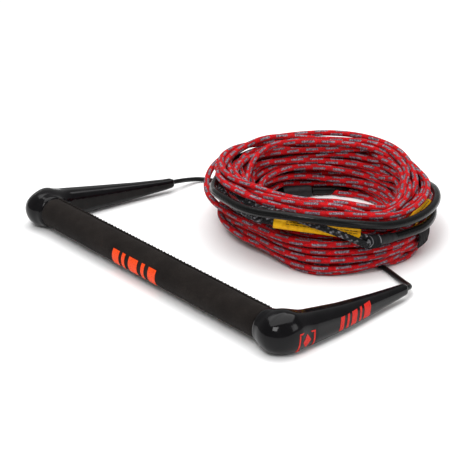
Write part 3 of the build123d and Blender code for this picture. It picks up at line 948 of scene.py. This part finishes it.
def add_cords():
    for side in ("left", "right"):
        piece, path = add_cord(f"bridle_{side}_leg", f"bridle_{side}", BRIDLE_DIAMETER, "bridle_cord",
                               0.0015, 18)
    piece, path = add_cord("handle_line_coated", "handle_line", HANDLE_LINE_DIAMETER, "handle_line",
                           0.002, 24)
    piece, path = add_cord("eye_loop_braid", "eye_loop", EYE_DIAMETER, "eye_braid", 0.0008, 36,
                           braid_relief)
    piece, path = add_cord("main_line", "main_line", MAIN_LINE_DIAMETER, "main_rope", 0.0026, 10,
                           replaced=("main_line_coil", "main_line_tail", "marker_run"))
    piece, path = add_cord("end_loop", "main_line_loop", MAIN_LINE_DIAMETER, "main_rope", 0.0012, 16)


# ---------------------------------------------------------------- end caps
CAP_VOXEL = 0.0009
CAP_SKIN = 0.0026        # how deep under the rounded surface a point still belongs to the outside
BULB_FLATTENING = 1.15   # of the upper half of the bulb
COLLAR_ROUNDING = 0.003
HOLE_MARGIN = 0.0007     # round the bore and the channel, left as the CAD has it
BORE_END_X = 0.1716
CAP_STEPS = 6            # towards the rounded surface
ARM_REACHES = (0.002, 0.030, 0.070, 0.115, 0.150, ARM_REACH)
ARM_INNER = (0.1720, 0.1745, 0.1752, 0.1742, 0.1727, 0.1730)
ARM_OUTER = (0.2020, 0.2020, 0.1980, 0.1900, 0.1842, 0.1824)
ARM_BOTTOM = (0.0012, 0.0010, 0.0016, 0.0032, 0.0048, 0.0056)
ARM_TOP = (0.0362, 0.0312, 0.0252, 0.0196, 0.0161, 0.0154)


def blend(first, second, width):
    """The nearer of two surfaces, with a rounded valley where they meet."""
    share = np.clip(0.5 + 0.5 * (second - first) / width, 0, 1)
    return second * (1 - share) + first * share - width * share * (1 - share)


def rounded_box(offsets, halves, radius):
    """Distance to a box with rounded edges; offsets and halves have one array for each axis."""
    over = [np.abs(offset) - (half - radius) for offset, half in zip(offsets, halves)]
    outside = np.sqrt(sum(np.maximum(part, 0) ** 2 for part in over))
    inside = np.minimum(np.maximum.reduce(over), 0)
    return outside + inside - radius


def cap_distance(points):
    """Distance to a cap's rounded surface; points as for the right cap, y measured from the bar's axis."""
    x, y, z = points.T
    high = z - BAR_HEIGHT
    flattened = np.where(high > 0, high * BULB_FLATTENING, high)
    bulb = np.sqrt((x - BULB_X) ** 2 + y ** 2 + flattened ** 2) - BULB_RADIUS
    from_axis = np.hypot(y, high)
    neck = np.maximum(from_axis - NECK_RADIUS,
                      np.abs(x - (GRIP_END + BULB_X) / 2) - (BULB_X - GRIP_END) / 2)
    over_rim = from_axis - (COLLAR_RADIUS - COLLAR_ROUNDING)
    over_side = np.abs(x - GRIP_END - COLLAR_LENGTH / 2) - (COLLAR_LENGTH / 2 - COLLAR_ROUNDING)
    collar = np.hypot(np.maximum(over_rim, 0), np.maximum(over_side, 0)) - COLLAR_ROUNDING
    collar += np.minimum(np.maximum(over_rim, over_side), 0)
    reach = np.clip(y, ARM_REACHES[0], ARM_REACHES[-1])
    inner, outer = np.interp(reach, ARM_REACHES, ARM_INNER), np.interp(reach, ARM_REACHES, ARM_OUTER)
    bottom, top = np.interp(reach, ARM_REACHES, ARM_BOTTOM), np.interp(reach, ARM_REACHES, ARM_TOP)
    radius = 0.40 * np.minimum(outer - inner, top - bottom)
    arm = rounded_box(
        (x - (inner + outer) / 2, y - ARM_REACH / 2, z - (bottom + top) / 2),
        ((outer - inner) / 2, np.full_like(x, ARM_REACH / 2), (top - bottom) / 2), radius)
    body = blend(bulb, arm, 0.012)
    body = blend(body, neck, 0.006)
    return blend(body, collar, 0.002)


def cap_slope(points):
    """The direction in which the distance grows fastest, at each point."""
    step = 0.00004
    slope = np.stack([cap_distance(points + offset) - cap_distance(points - offset)
                      for offset in np.eye(3) * step], axis=1) / (2 * step)
    return slope / np.maximum(np.linalg.norm(slope, axis=1), 1e-6)[:, None]


def make_cap(side, word):
    """The moulded cap: the frame's own cap with its outside drawn onto the rounded surface."""
    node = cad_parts[f"end_cap_{word}"]
    copy = bpy.data.objects.new("cap_copy", node.data.copy())
    copy.matrix_world = node.matrix_world.copy()
    bpy.context.scene.collection.objects.link(copy)
    modifier = copy.modifiers.new("even", "REMESH")
    modifier.mode = "VOXEL"
    modifier.voxel_size = CAP_VOXEL
    bpy.context.view_layer.update()
    depsgraph = bpy.context.evaluated_depsgraph_get()
    mesh = bpy.data.meshes.new_from_object(copy.evaluated_get(depsgraph))
    mesh.transform(copy.matrix_world)
    mesh.materials.clear()
    bpy.data.objects.remove(copy)
    points = np.empty(len(mesh.vertices) * 3, np.float32)
    mesh.vertices.foreach_get("co", points)
    points = points.reshape(-1, 3).astype(float) * (side, 1, 1) - (0, BAR_Y, 0)

    start = np.array((BULB_X, KNOT_SEAT_Y - BAR_Y, BAR_HEIGHT))
    mouth = np.array((TIP[0], TIP[1] - BAR_Y, TIP[2]))
    ahead = (mouth - start) / np.linalg.norm(mouth - start)
    from_channel = np.linalg.norm(np.cross(points - start, ahead), axis=1)
    in_channel = (from_channel < CHANNEL_RADIUS + HOLE_MARGIN) & (points[:, 1] > start[1])
    from_axis = np.hypot(points[:, 1], points[:, 2] - BAR_HEIGHT)
    in_bore = (from_axis < TUBE_RADIUS + HOLE_MARGIN) & (points[:, 0] < BORE_END_X)
    moved = (cap_distance(points) > -CAP_SKIN) & ~in_channel & ~in_bore
    skin = points[moved]
    for _ in range(CAP_STEPS):
        skin = skin - cap_slope(skin) * cap_distance(skin)[:, None]
    skin[:, 2] = np.maximum(skin[:, 2], 0.0)
    points[moved] = skin
    points = (points + (0, BAR_Y, 0)) * (side, 1, 1)
    mesh.vertices.foreach_set("co", points.astype(np.float32).ravel())
    mesh.polygons.foreach_set("use_smooth", [True] * len(mesh.polygons))
    mesh.update()
    piece = bpy.data.objects.new(f"cap_moulding_{word}", mesh)
    bpy.context.scene.collection.objects.link(piece)
    dress(piece, "cap_plastic", replaced=(f"end_cap_{word}",))
    mesh.materials.append(LOOKS["cap_inner_face"])
    centres = np.empty(len(mesh.polygons) * 3, np.float32)
    normals = np.empty(len(mesh.polygons) * 3, np.float32)
    mesh.polygons.foreach_get("center", centres)
    mesh.polygons.foreach_get("normal", normals)
    inwards = normals.reshape(-1, 3)[:, 0] * side < -0.97
    along_arm = centres.reshape(-1, 3)[:, 1] - BAR_Y > 0.022
    mesh.polygons.foreach_set("material_index", (inwards & along_arm).astype(np.int32))


def on_cap(side, reach, height, lift):
    """The places on a cap's outer face that have these reaches and heights, lifted off it a little."""
    points = np.stack([np.full(len(reach), 0.206), reach, height], axis=1)
    for _ in range(40):
        points[:, 0] -= cap_distance(points)
    points += cap_slope(points) * lift
    return (points + (0, BAR_Y, 0)) * (side, 1, 1)


def add_print(name, corners, place, look, columns=10, rows=8):
    """A thin printed shape with four corners, laid on a surface by place(first, second)."""
    across = np.linspace(0, 1, columns)[None, :, None]
    up = np.linspace(0, 1, rows)[:, None, None]
    a, b, c, d = (np.array(corner) for corner in corners)
    grid = (a * (1 - across) + b * across) * (1 - up) + (d * (1 - across) + c * across) * up
    grid = grid.reshape(-1, 2)
    vertices = place(grid[:, 0], grid[:, 1])
    faces = [(r * columns + k, r * columns + k + 1, (r + 1) * columns + k + 1, (r + 1) * columns + k)
             for r in range(rows - 1) for k in range(columns - 1)]
    piece = add_mesh(name, vertices, faces)
    piece.data.materials.append(LOOKS[look])
    return piece


def join(name, pieces):
    """One piece from several."""
    vertices, faces, shift = [], [], 0
    for piece in pieces:
        vertices += [tuple(vertex.co) for vertex in piece.data.vertices]
        faces += [tuple(index + shift for index in polygon.vertices) for polygon in piece.data.polygons]
        shift = len(vertices)
        look = piece.data.materials[0]
        bpy.data.objects.remove(piece)
    made = add_mesh(name, vertices, faces)
    made.data.materials.append(look)
    return made


def slanted(start, width, low, high, lean):
    """The corners of a bar that leans along with its height."""
    return ((start, low), (start + width, low), (start + width + lean, high), (start + lean, high))


# (reach along the arm, height) of the corners of the two brackets' parts and of the diamond
CAP_EMBLEM = (
    ((0.0060, 0.0030), (0.0080, 0.0046), (0.0080, 0.0204), (0.0065, 0.0222)),
    ((0.0250, 0.0042), (0.0265, 0.0026), (0.0270, 0.0196), (0.0250, 0.0182)),
    ((0.0063, 0.0030), (0.0120, 0.0030), (0.0107, 0.0044), (0.0077, 0.0046)),
    ((0.0065, 0.0222), (0.0077, 0.0204), (0.0107, 0.0206), (0.0120, 0.0218)),
    ((0.0210, 0.0028), (0.0265, 0.0026), (0.0251, 0.0042), (0.0223, 0.0044)),
    ((0.0210, 0.0202), (0.0223, 0.0186), (0.0251, 0.0182), (0.0270, 0.0196)),
    ((0.0165, 0.0052), (0.0217, 0.0122), (0.0165, 0.0192), (0.0113, 0.0122)),
)
# (start, width) of each leaning bar
CAP_BARS = ((0.0575, 0.0052), (0.0665, 0.0030), (0.0730, 0.0075), (0.0845, 0.0030), (0.0910, 0.0095))
GRIP_BARS = ((-0.043, 0.0105), (-0.028, 0.0050), (-0.017, 0.0140), (0.003, 0.0050), (0.014, 0.0115))


def make_cap_marks(side, word):
    """A diamond between two brackets, and five leaning bars."""
    def place(reach, height):
        return on_cap(side, reach, height, 0.00018)

    prints = [add_print("bar", slanted(start, width, 0.0068, 0.0198, 0.0020), place, "cap_mark")
              for start, width in CAP_BARS]
    prints += [add_print("part", corners, place, "cap_mark", 8, 8) for corners in CAP_EMBLEM]
    marks = join(f"cap_marks_{word}", prints)
    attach(marks, "root")


# ---------------------------------------------------------------- grip
def on_grip(lift):
    """Places on the grip for a distance along the bar and an angle above the bar's front, in degrees."""
    def place(x, angle):
        turned = np.radians(angle)
        radius = GRIP_RADIUS + lift
        return np.stack([x, BAR_Y - radius * np.cos(turned), BAR_HEIGHT + radius * np.sin(turned)], axis=1)
    return place


def make_grip():
    inset, rim = 0.0004, 0.0018
    curve = [(0.0, TUBE_RADIUS), (0.0, GRIP_RADIUS - rim)]
    for step in range(1, 6):
        turned = step / 5 * pi / 2
        curve.append((rim * (1 - cos(turned)), GRIP_RADIUS - rim * (1 - sin(turned))))
    length = GRIP_LENGTH - 2 * inset
    middle = [(x, GRIP_RADIUS) for x in np.linspace(0.004, length - 0.004, 220)]
    far = [(length - distance, radius) for distance, radius in reversed(curve)]
    start = (-GRIP_END + inset, BAR_Y, BAR_HEIGHT)
    cover = add_lathe("grip_cover", start, (GRIP_END, BAR_Y, BAR_HEIGHT), curve + middle + far, 96,
                      hollow=True)
    points = np.array([vertex.co for vertex in cover.data.vertices])
    spokes = points - (0, BAR_Y, BAR_HEIGHT)
    spokes[:, 0] = 0
    radii = np.linalg.norm(spokes, axis=1)
    outer = radii > GRIP_RADIUS - 0.0001
    angle = np.arctan2(spokes[:, 2], spokes[:, 1])
    uneven = (np.sin(points[:, 0] * 61 + 2 * angle) + np.sin(points[:, 0] * 143 - 3 * angle + 1)
              + np.sin(points[:, 0] * 310 + 5 * angle + 2)) * 0.00007
    points += spokes / radii[:, None] * (uneven * outer)[:, None]
    cover.data.vertices.foreach_set("co", points.astype(np.float32).ravel())
    cover.data.update()
    dress(cover, "grip_suede", replaced=("grip_sleeve",))

    bars = [add_print("bar", slanted(start, width, -50.0, 26.0, 0.003), on_grip(0.00035), "grip_mark",
                      8, 16)
            for start, width in GRIP_BARS]
    marks = join("grip_marks", bars)
    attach(marks, "root")


WELT_ANGLE = 62.0
STITCH_PITCH = 0.005


def welt_place(x, rise, sideways=0.0):
    """A point over the seam: rise above the grip, and sideways round it."""
    turned = radians(WELT_ANGLE)
    radius = GRIP_RADIUS + rise
    return (x, BAR_Y + radius * cos(turned) - sideways * sin(turned),
            BAR_HEIGHT + radius * sin(turned) + sideways * cos(turned))


def make_welt():
    """The raised seam, pinched at each stitch, and its thread."""
    reach = GRIP_END - 0.001
    line = np.array([welt_place(x, 0.0003, 0.0002 * sin(x * 190))
                     for x in np.arange(-reach, reach, 0.00062)])

    def pinched(along, turn):
        wave = np.cos(along / STITCH_PITCH * 2 * pi) + 0 * turn
        return 1 - 0.16 * np.clip(wave, 0, 1) ** 2 + 0.06 * np.sin(along * 700)

    welt = add_tube("seam_welt", line, 0.0013, 12, pinched)
    dress(welt, "grip_suede", replaced=("grip_welt",))
    stitches = []
    for number in range(int(2 * reach / STITCH_PITCH)):
        x = -reach + (number + 1) * STITCH_PITCH
        lean = 0.0004 * sin(number * 2.3)
        points = [welt_place(x + 0.0009 * share + lean, 0.0003 + 0.00155 * cos(share * 1.25),
                             0.0016 * sin(share * 1.25))
                  for share in np.linspace(-1, 1, 9)]
        stitches.append(add_tube("stitch", np.array(points), 0.00038, 8))
        stitches[-1].data.materials.append(LOOKS["grip_thread"])
    thread = join("seam_thread", stitches)
    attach(thread, "root")
    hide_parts("grip_stitching")


# ---------------------------------------------------------------- sleeves and whippings
def ridged(length, radius, pitch, depth, ends=0.0008):
    """A profile wound with twine: one small ridge for each turn."""
    profile = [(0.0, radius - 0.0034), (0.0003, radius - 0.0022)]
    for distance in np.arange(0.0006, length - 0.0006, pitch / 6):
        edge = min(distance, length - distance)
        fall = max(0.0, 1 - edge / ends) ** 2 * 0.0009
        wave = abs(sin(distance / pitch * pi))
        profile.append((distance, radius - fall - depth * (1 - wave)))
    profile += [(length - 0.0003, radius - 0.0022), (length, radius - 0.0034)]
    return profile


def tapered(length, radius, thin, taper):
    """A shrunk tube: thin at both ends, with small swellings between."""
    profile = []
    for share in np.linspace(0, 1, 60):
        distance = share * length
        edge = min(distance, length - distance)
        full = eased(min(1.0, edge / taper))
        profile.append((distance, thin + (radius - thin) * full + 0.00012 * sin(distance * 900)))
    return profile


def make_sleeves():
    def between(name, start, end, profile, look, node):
        length = (Vector(end) - Vector(start)).length
        piece = add_lathe(name, start, end, profile(length), 40)
        return dress(piece, look, replaced=(node,))

    between("seizing_sleeve", SEIZING_START, SEIZING_END,
            lambda length: tapered(length, SEIZING_RADIUS, 0.0058, 0.005),
            "shrink_sleeve", "bridle_seizing")
    between("eye_whipping_twine", WHIPPING_START, WHIPPING_END,
            lambda length: ridged(length, WHIPPING_RADIUS, 0.0011, 0.0003),
            "whipping_twine", "eye_whipping")
    between("loop_whipping_twine", LOOP_SLEEVE_START, LOOP_SLEEVE_END,
            lambda length: ridged(length, 0.0048, 0.0011, 0.0003), "whipping_twine", "loop_whipping")
    run = Vector(HANDLE_LINE_ROUTE[1]) - Vector(HANDLE_LINE_ROUTE[0])
    along = lengths_along(LINES["handle_line"])
    covered = LINES["handle_line"][along < run.length * 0.5]
    path = respace(covered, 0.0008)

    def swelling(distance, turn):
        return 1 + 0.02 * np.sin(distance * 900) + 0.012 * np.sin(distance * 2300 + turn * 12)

    reach = np.full(len(path), HANDLE_LINE_DIAMETER / 2 + 0.0007)
    reach[-8:] -= np.linspace(0, 0.0006, 8)
    sleeve = add_tube("line_shrink_sleeve", path, reach, 32, swelling)
    dress(sleeve, "shrink_sleeve", replaced=("line_sleeve",))


def make_markers():
    """Each vinyl sleeve with its end rings, a seam near one end and two rows of printed dashes."""
    for word, ends in (("front", MARKER_FRONT), ("rear", MARKER_REAR)):
        start, end = Vector(ends[0]), Vector(ends[1])
        length = (end - start).length
        bore = MARKER_RADIUS - 0.0011
        seam = 0.009
        outer = [(0.0, bore + 0.0002), (0.0, MARKER_RADIUS - 0.0003), (0.0003, MARKER_RADIUS)]
        outer += [(d, MARKER_RADIUS) for d in np.linspace(0.001, seam - 0.0004, 8)]
        outer += [(seam - 0.0002, MARKER_RADIUS - 0.0002), (seam + 0.0002, MARKER_RADIUS - 0.0002)]
        outer += [(d, MARKER_RADIUS - 0.00008) for d in np.linspace(seam + 0.0004, length - 0.001, 40)]
        outer += [(length - 0.0003, MARKER_RADIUS - 0.0001), (length, MARKER_RADIUS - 0.0004),
                  (length, bore + 0.0002)]
        inner = [(d, bore) for d in np.linspace(length - 0.0006, 0.0006, 12)]
        sleeve = add_lathe(f"vinyl_sleeve_{word}", ends[0], ends[1], outer + inner, 48, hollow=True)
        dress(sleeve, "marker_yellow", body=f"marker_{word}", replaced=(f"marker_sleeve_{word}",))

        ahead = np.array((end - start).normalized())
        toward = np.array(sleeve_front(ahead))
        up = np.cross(toward, ahead)
        origin = np.array(start)

        def place(distance, angle, origin=origin, ahead=ahead, toward=toward, up=up):
            turned = np.radians(angle)[:, None]
            ring = toward * np.cos(turned) + up * np.sin(turned)
            return origin + ahead * distance[:, None] + ring * (MARKER_RADIUS + 0.00012)

        dashes = []
        for row in (20.0, -6.0):
            at = seam + 0.003
            while at < length - 0.006:
                size = 0.0015 + 0.0035 * RANDOM.random()
                corners = ((at, row), (at + size, row), (at + size, row + 7.0), (at, row + 7.0))
                dashes.append(add_print("dash", corners, place, "marker_print", 3, 3))
                at += size + 0.0011
        prints = join(f"sleeve_print_{word}", dashes)
        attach(prints, f"marker_{word}")


def sleeve_front(ahead):
    """The direction across a line that faces outwards and a little up, away from the coil."""
    away = Vector(in_coil(0.25, -1.0, 0.45)) - Vector(in_coil(0, 0, 0))
    away = away - Vector(ahead) * away.dot(Vector(ahead))
    return away.normalized()


def make_hitch():
    """The main line's turns round the bight of the eye."""
    angle, offset, height = HITCH
    centre = Vector(on_coil(*HITCH))
    along = (Vector(on_coil(angle, offset - 0.004, height + 0.001)) - centre).normalized()
    side = along.cross(Vector((0, 0, 1))).normalized()
    up = along.cross(side)
    radius = (EYE_DIAMETER + MAIN_LINE_DIAMETER) / 2 + 0.0003
    line = []
    for turned in np.linspace(-0.15, 2 * pi + 0.15, 60):
        shift = 0.0022 * (turned / pi - 1)
        line.append(centre + side * (radius * cos(turned)) + up * (radius * sin(turned)) + along * shift)
    hitch = add_tube("hitch_turn", np.array(line), ROPE_RADIUS, 18)
    dress(hitch, "main_rope", replaced=("line_hitch",))


def make_strap():
    """The webbing tab: a bent, ribbed strip with turned-in edges, against the outside of the coil."""
    columns, rows = 41, 33
    sheets = []
    for face in (0, 1):
        grid = []
        for row in range(rows):
            for column in range(columns):
                across, high = column / (columns - 1) - 0.5, row / (rows - 1) - 0.5
                edge = max(abs(across), abs(high)) * 2
                round_off = 0.0006 * max(0.0, edge - 0.9) * 10
                rib = 0.00016 * sin(across * 24 * pi) * (1 - max(0.0, edge - 0.85) * 6)
                bend = 0.0008 * sin(high * 5 + 1)
                depth = 0.0016 + 0.0018 * face + (rib - round_off if face else round_off) + bend
                corner = 1 - 0.06 * (abs(across) * 2) ** 8 * (abs(high) * 2) ** 8
                angle = -33 + degrees_for(0.024 * across * corner)
                grid.append(on_coil(angle, depth, 0.021 + 0.019 * high * corner))
        sheets += grid
    faces = []
    size = columns * rows
    for row in range(rows - 1):
        for column in range(columns - 1):
            a = row * columns + column
            quad = (a, a + 1, a + columns + 1, a + columns)
            faces.append(quad[::-1])
            faces.append(tuple(index + size for index in quad))
    border = list(range(columns))
    border += [row * columns + columns - 1 for row in range(1, rows)]
    border += [(rows - 1) * columns + column for column in range(columns - 2, -1, -1)]
    border += [row * columns for row in range(rows - 2, 0, -1)]
    for first, second in zip(border, border[1:] + border[:1]):
        faces.append((first, second, second + size, first + size))
    strap = add_mesh("webbing_tab", sheets, faces)
    dress(strap, "webbing", replaced=("coil_strap",))


def degrees_for(distance):
    """The turn round the coil that covers a distance along its outside."""
    return distance / 0.122 * 180 / pi


def make_pieces():
    for side, word in ((-1, "left"), (1, "right")):
        make_cap(side, word)
        make_cap_marks(side, word)
    make_grip()
    make_welt()
    make_sleeves()
    make_markers()
    make_hitch()
    make_strap()


# ---------------------------------------------------------------- CAD nodes that stay as they are
NODE_LOOKS = {
    "bar_tube": "tube",
    "bar_foam_core": "foam",
    "cap_pin_left": "steel",
    "cap_pin_right": "steel",
    "bridle_washer_left": "steel",
    "bridle_washer_right": "steel",
    "bridle_knot_left": "bridle_cord",
    "bridle_knot_right": "bridle_cord",
}


def dress_frame():
    for name, look in NODE_LOOKS.items():
        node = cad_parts[name]
        if not node.material_slots:
            node.data.materials.append(LOOKS[look])
        for slot in node.material_slots:
            slot.material = LOOKS[look]


# ---------------------------------------------------------------- stage
def area_light(name, place, aim, width, height, power):
    light = bpy.data.lights.new(name, "AREA")
    light.shape = "RECTANGLE"
    light.size, light.size_y = width, height
    light.energy = power
    lamp = bpy.data.objects.new(name, light)
    lamp.location = place
    lamp.rotation_euler = (Vector(aim) - Vector(place)).to_track_quat("-Z", "Y").to_euler()
    bpy.context.scene.collection.objects.link(lamp)


def make_stage():
    corners = [(-6, -6, 0), (6, -6, 0), (6, 6, 0), (-6, 6, 0)]
    floor = add_mesh("floor", corners, [(0, 1, 2, 3)], smooth=False)
    pale = Look("pale_floor", (0.93, 0.93, 0.93), 0.9, Specular_IOR_Level=0.1)
    floor.data.materials.append(pale.material)

    world = bpy.data.worlds.new("studio")
    bpy.context.scene.world = world
    world.use_nodes = True
    background = world.node_tree.nodes["Background"]
    background.inputs["Color"].default_value = (1.0, 1.0, 1.0, 1)
    background.inputs["Strength"].default_value = 0.36
    area_light("key", (0.7, -1.1, 1.5), (0, 0.05, 0.02), 0.7, 0.7, 17)
    area_light("top", (-0.2, 0.2, 1.7), (0, 0.05, 0.02), 2.2, 2.0, 38)
    area_light("side", (1.6, 0.5, 0.8), (0, 0.05, 0.03), 0.5, 0.9, 6)


def make_camera():
    lens = bpy.data.cameras.new("camera")
    lens.lens, lens.sensor_width = 117.61, 36.0
    lens.clip_start, lens.clip_end = 0.05, 30
    camera = bpy.data.objects.new("camera", lens)
    camera.location = (1.0335, -0.8132, 0.5785)
    camera.rotation_euler = (radians(67.694), 0, radians(51.092))
    bpy.context.scene.collection.objects.link(camera)
    bpy.context.scene.camera = camera
    bpy.context.scene.view_settings.view_transform = "Standard"


# ---------------------------------------------------------------- everything together
make_pieces()
add_cords()
dress_frame()
make_stage()
make_camera()
